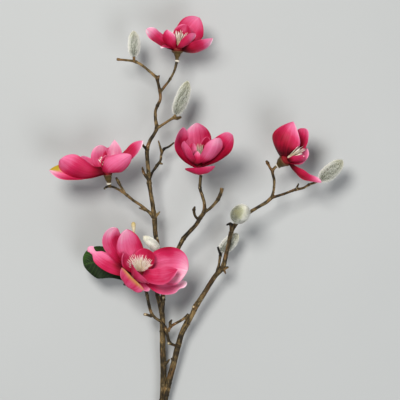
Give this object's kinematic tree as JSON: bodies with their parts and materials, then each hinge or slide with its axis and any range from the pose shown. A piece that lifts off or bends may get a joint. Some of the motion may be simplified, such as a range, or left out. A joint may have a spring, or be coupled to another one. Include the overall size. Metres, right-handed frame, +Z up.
{
  "type": "flowering magnolia branch",
  "caption": "Cut branch of saucer magnolia lying on a surface: forked woody stems with open pink blooms, furry buds and a leaf.",
  "frame": {"origin": "on the surface that the branch lies on, below the middle of the part's box", "axes": "+Y from the cut end towards the tip, +X to the viewer's right, +Z up from the surface"},
  "size_m": [0.3678, 0.5649, 0.087],
  "materials": {
    "bark": "matte brown bark with pale specks",
    "receptacle": "matte olive brown turning crimson",
    "tepal": "satin petal, crimson at the base and pale pink at the tip",
    "stamen": "matte cream",
    "bud_hair": "matte, silky grey-green hairs",
    "cream_bud": "matte cream",
    "leaf": "satin dark green"
  },
  "bodies": {
    "root": {"wood": "bark", "top_bloom_receptacle": "receptacle", "top_bloom_tepals": "tepal", "top_bloom_stamens": "stamen", "left_bloom_receptacle": "receptacle", "left_bloom_tepals": "tepal", "left_bloom_stamens": "stamen", "middle_bloom_receptacle": "receptacle", "middle_bloom_tepals": "tepal", "middle_bloom_stamens": "stamen", "right_bloom_receptacle": "receptacle", "right_bloom_tepals": "tepal", "right_bloom_stamens": "stamen", "front_bloom_receptacle": "receptacle", "front_bloom_tepals": "tepal", "front_bloom_stamens": "stamen", "tip_bud": "bud_hair", "side_bud": "bud_hair", "facing_bud": "bud_hair", "low_bud": "bud_hair", "right_bud": "bud_hair", "pale_bud": "bud_hair", "cream_bud": "cream_bud", "leaf": "leaf"}
  },
  "joints": []
}
